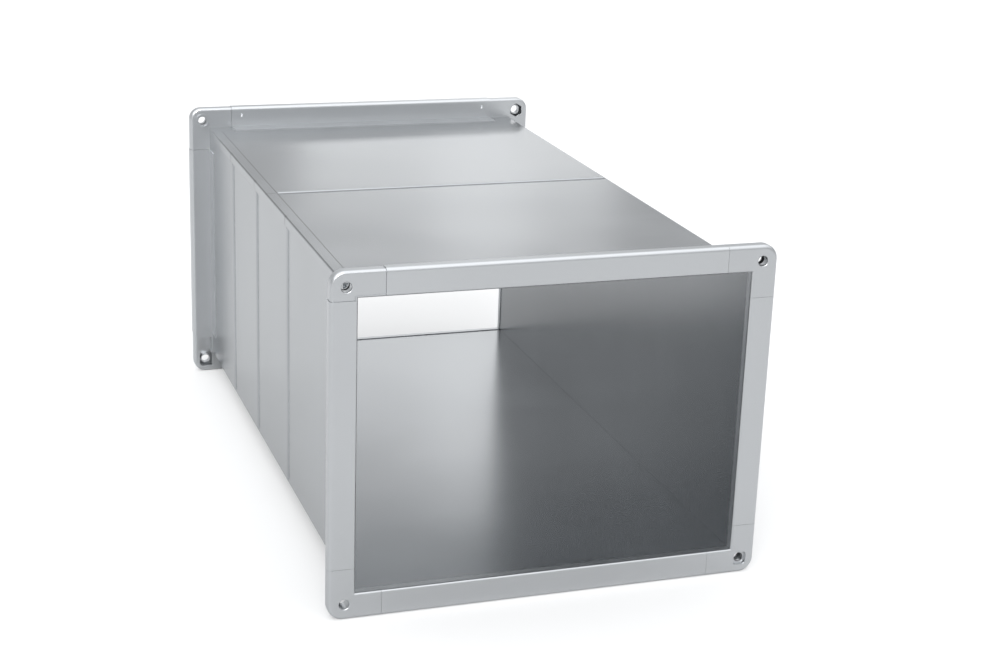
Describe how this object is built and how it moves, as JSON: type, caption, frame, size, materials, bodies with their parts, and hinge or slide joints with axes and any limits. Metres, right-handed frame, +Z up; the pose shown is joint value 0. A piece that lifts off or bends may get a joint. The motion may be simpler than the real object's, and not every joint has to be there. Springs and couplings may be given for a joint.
{
  "type": "rectangular air duct section",
  "caption": "Straight rectangular galvanised sheet-steel duct section with folded lock seams, stiffening beads and a bolted rail flange at each end.",
  "frame": {"origin": "middle of the footprint on the floor, at the lowest point of the flanges", "axes": "X is the width, +Y is the way through the duct from the front mating face to the back one, +Z is up with the duct lying on its wide side"},
  "size_m": [0.45, 0.75, 0.35],
  "materials": {
    "galvanised_sheet": "semi-gloss",
    "flange_rail": "satin",
    "corner_steel": "satin"
  },
  "bodies": {
    "root": {"left_bottom_sheet": "galvanised_sheet", "top_right_sheet": "galvanised_sheet", "front_right_rail": "flange_rail", "front_top_rail": "flange_rail", "front_left_rail": "flange_rail", "front_bottom_rail": "flange_rail", "back_right_rail": "flange_rail", "back_top_rail": "flange_rail", "back_left_rail": "flange_rail", "back_bottom_rail": "flange_rail", "front_top_left_corner": "corner_steel", "front_top_right_corner": "corner_steel", "front_bottom_left_corner": "corner_steel", "front_bottom_right_corner": "corner_steel", "back_top_left_corner": "corner_steel", "back_top_right_corner": "corner_steel", "back_bottom_left_corner": "corner_steel", "back_bottom_right_corner": "corner_steel"}
  },
  "joints": []
}
